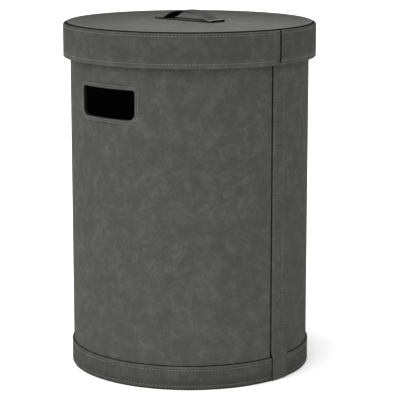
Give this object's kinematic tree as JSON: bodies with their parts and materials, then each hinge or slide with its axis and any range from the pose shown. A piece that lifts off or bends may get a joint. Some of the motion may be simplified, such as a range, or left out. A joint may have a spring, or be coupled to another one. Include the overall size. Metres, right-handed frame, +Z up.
{
  "type": "laundry hamper with lid",
  "caption": "Round laundry hamper in stitched faux leather over fibreboard, with cut-out hand-holes and a lift-off lid with a strap handle.",
  "frame": {"origin": "centre of the underside, on the floor", "axes": "+Z up; -Y towards the body's sewn seam; the hand-holes face -X and +X; the lid's strap lies along Y"},
  "size_m": [0.4, 0.4, 0.566],
  "materials": {
    "faux_leather": "matt suede-like grain, softly mottled",
    "lining": "matt non-woven felt",
    "fibreboard": "raw pressed board",
    "thread": "light grey twisted sewing thread"
  },
  "bodies": {
    "hamper": {"body_board": "fibreboard", "body_cover": "faux_leather", "body_lining": "lining", "hand_hole_facing_left": "faux_leather", "hand_hole_facing_right": "faux_leather", "seam_strip": "faux_leather", "rim_binding": "faux_leather", "base_board": "fibreboard", "floor_lining": "lining", "base_ring_board": "fibreboard", "base_band": "faux_leather", "bottom_cover": "lining"},
    "lid": {"lid_board": "fibreboard", "lid_skirt_board": "fibreboard", "lid_top_cover": "faux_leather", "lid_skirt_cover": "faux_leather", "lid_lining": "lining", "lid_skirt_lining": "lining", "handle_patch": "faux_leather", "handle_strap": "faux_leather"}
  },
  "joints": [
    {"name": "lid_lift", "type": "slide", "parent": "hamper", "child": "lid", "axis": [0, 0, 1], "range_m": [0, 0.25]}
  ]
}
